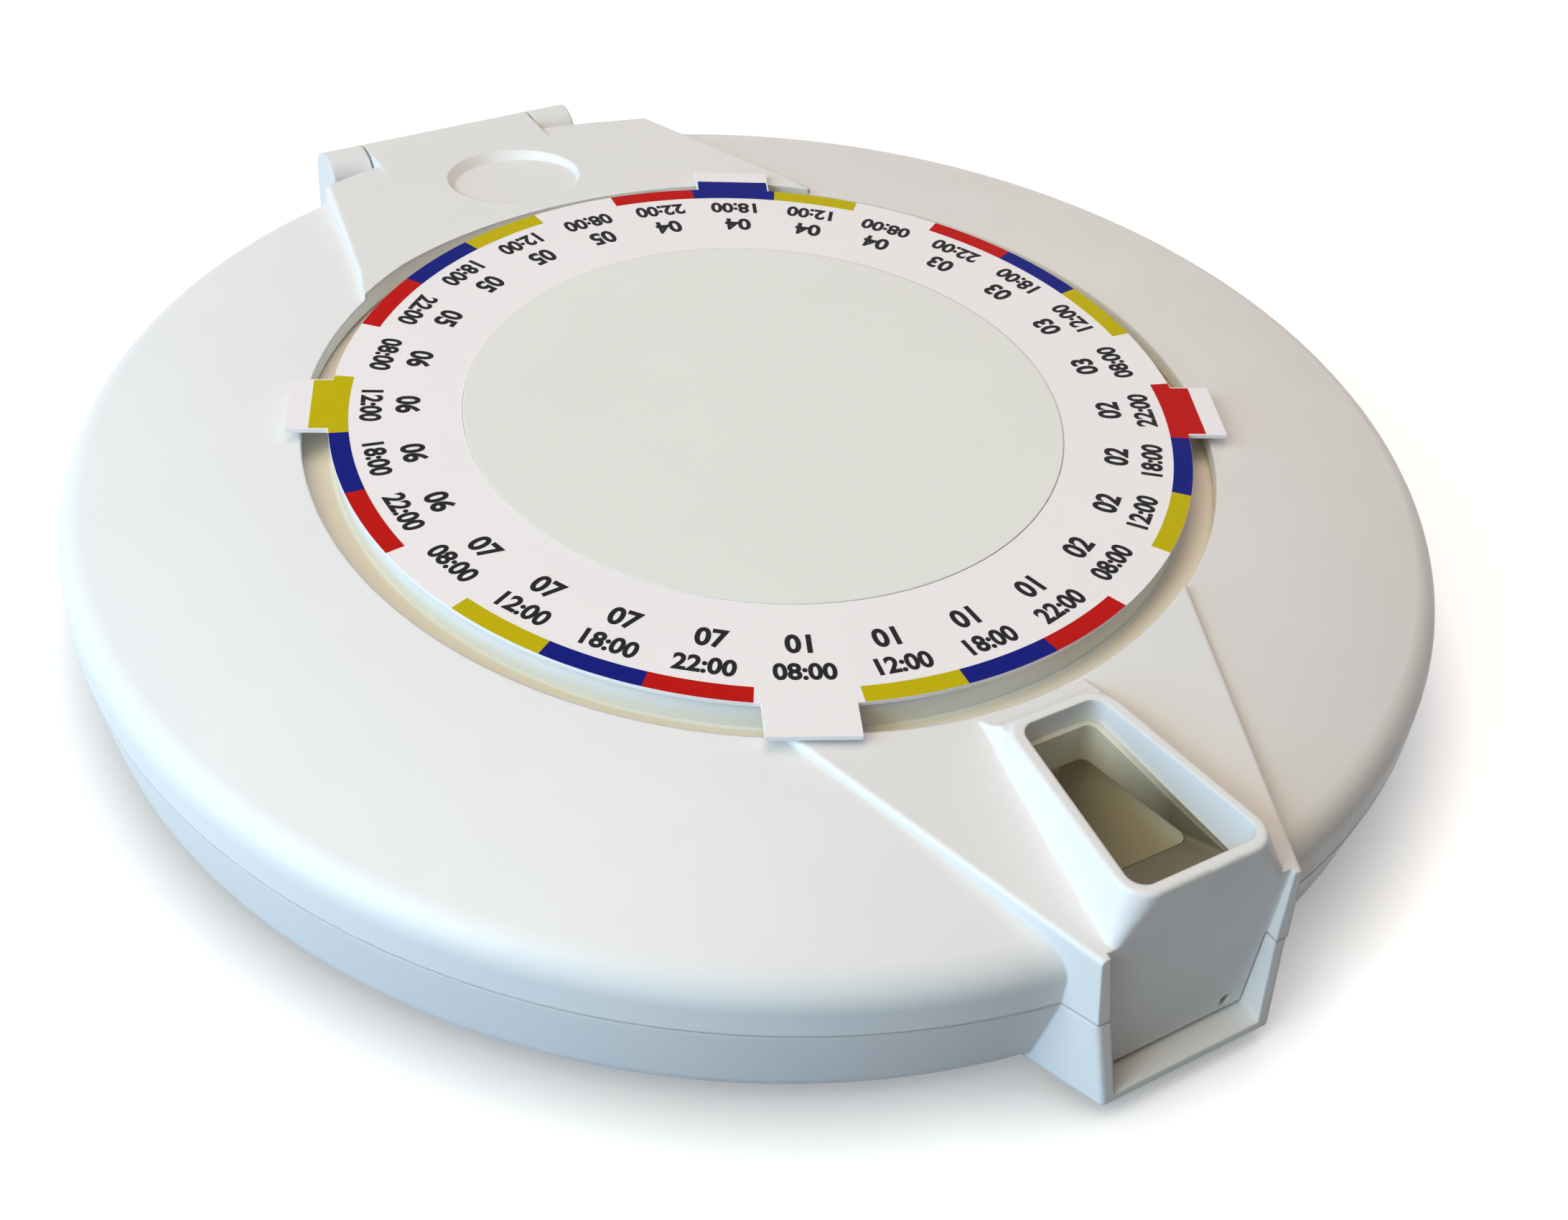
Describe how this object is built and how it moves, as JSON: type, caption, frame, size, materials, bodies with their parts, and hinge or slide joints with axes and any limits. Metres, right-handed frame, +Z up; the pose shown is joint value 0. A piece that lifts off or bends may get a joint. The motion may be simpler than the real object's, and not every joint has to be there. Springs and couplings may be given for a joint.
{
  "type": "automatic pill dispenser",
  "caption": "Round countertop pill dispenser: motor-turned ring of compartments in a case with a hinged domed lid, raised chute, labelled dial and a hidden clock module with set buttons.",
  "frame": {"origin": "centre of the case on the surface it stands on, on the axis the tray turns about", "axes": "+Z up, the chute points along -Y, the hinge is at +Y"},
  "size_m": [0.19, 0.2018, 0.0314],
  "materials": {
    "battery_jacket": "plain dark sleeve with bright ends",
    "black_plastic": "black",
    "board": "green laminate",
    "brass": "nickelled brass",
    "button_plastic": "satin blue",
    "card": "printed white card, bars in yellow, blue and red",
    "case_plastic": "satin moulded ABS, fine moulded grain",
    "chute_plastic": "satin white liner",
    "contact_metal": "nickel plated spring steel",
    "dial_plastic": "matt off-white",
    "display_film": "grey-green liquid crystal",
    "display_glass": "clear lens",
    "gear_plastic": "natural acetal",
    "light_red": "clear red lens",
    "module_plastic": "satin light grey",
    "motor_can": "drawn can",
    "rubber": "matt soft rubber",
    "steel": "bright zinc plated",
    "tray_plastic": "satin off-white, moulded"
  },
  "bodies": {
    "base": {"base_shell": "case_plastic", "rubber_feet": "rubber", "hinge_pin": "steel", "motor": "motor_can", "module_housing": "module_plastic", "circuit_board": "board", "display_panel": "display_film", "display_lens": "display_glass", "fascia": "module_plastic", "fascia_screws": "steel", "module_screws": "steel", "alarm_light": "light_red", "buzzer": "black_plastic", "tilt_switch": "black_plastic", "battery_box": "module_plastic", "battery_contacts": "contact_metal", "battery_1": "battery_jacket", "battery_2": "battery_jacket", "battery_3": "battery_jacket", "battery_4": "battery_jacket"},
    "lid": {"lid_shell": "case_plastic", "chute_liner": "chute_plastic", "dial_retainer": "dial_plastic", "retainer_screws": "steel"},
    "dial": {"dial_disc": "dial_plastic", "label_card": "card"},
    "tray": {"tray_hub": "tray_plastic", "tray_floor": "tray_plastic", "tray_rim": "tray_plastic", "tray_dividers": "tray_plastic", "ring_gear": "gear_plastic"},
    "pinion": {"drive_pinion": "gear_plastic"},
    "idler": {"idler_gear": "gear_plastic"},
    "rotor": {"motor_pinion": "gear_plastic"},
    "lock": {"lock_barrel": "brass", "lock_cam": "steel"},
    "door": {"battery_door": "case_plastic"},
    "hour_key": {"hour_button": "button_plastic"},
    "minute_key": {"minute_button": "button_plastic"},
    "alarm_key": {"alarm_button": "button_plastic"},
    "set_key": {"set_button": "button_plastic"}
  },
  "joints": [
    {"name": "lid_hinge", "type": "hinge", "parent": "base", "child": "lid", "pos_m": [-0.004, 0.097, 0.0222], "axis": [-1, 0, 0], "range_deg": [0, 100]},
    {"name": "tray_spin", "type": "hinge", "parent": "base", "child": "tray", "pos_m": [0, 0, 0.01], "axis": [0, 0, 1], "continuous": true},
    {"name": "dial_spin", "type": "hinge", "parent": "lid", "child": "dial", "pos_m": [0, 0, 0.03], "axis": [0, 0, 1], "continuous": true},
    {"name": "pinion_spin", "type": "hinge", "parent": "base", "child": "pinion", "pos_m": [0.049, 0, 0.0155], "axis": [0, 0, 1], "continuous": true},
    {"name": "idler_spin", "type": "hinge", "parent": "base", "child": "idler", "pos_m": [0.032, 0, 0.0155], "axis": [0, 0, 1], "continuous": true},
    {"name": "rotor_spin", "type": "hinge", "parent": "base", "child": "rotor", "pos_m": [0.02965, -0.01482, 0.0155], "axis": [0, 0, 1], "continuous": true},
    {"name": "lock_turn", "type": "hinge", "parent": "base", "child": "lock", "pos_m": [0, -0.0913, 0.005], "axis": [0, 0, -1], "range_deg": [0, 90]},
    {"name": "door_slide", "type": "slide", "parent": "base", "child": "door", "axis": [-1, 0, 0], "range_m": [0, 0.007]},
    {"name": "hour_press", "type": "slide", "parent": "base", "child": "hour_key", "axis": [0, 0, -1], "range_m": [0, 0.0006], "stiffness_N_per_m": 800, "springref_m": -0.0004},
    {"name": "minute_press", "type": "slide", "parent": "base", "child": "minute_key", "axis": [0, 0, -1], "range_m": [0, 0.0006], "stiffness_N_per_m": 800, "springref_m": -0.0004},
    {"name": "alarm_press", "type": "slide", "parent": "base", "child": "alarm_key", "axis": [0, 0, -1], "range_m": [0, 0.0006], "stiffness_N_per_m": 800, "springref_m": -0.0004},
    {"name": "set_press", "type": "slide", "parent": "base", "child": "set_key", "axis": [0, 0, -1], "range_m": [0, 0.0006], "stiffness_N_per_m": 800, "springref_m": -0.0004}
  ],
  "couplings": [
    {"joint": "dial_spin", "follows": "tray_spin", "ratio": 1},
    {"joint": "pinion_spin", "follows": "tray_spin", "ratio": 8},
    {"joint": "idler_spin", "follows": "tray_spin", "ratio": -5.6},
    {"joint": "rotor_spin", "follows": "tray_spin", "ratio": 11.2}
  ]
}
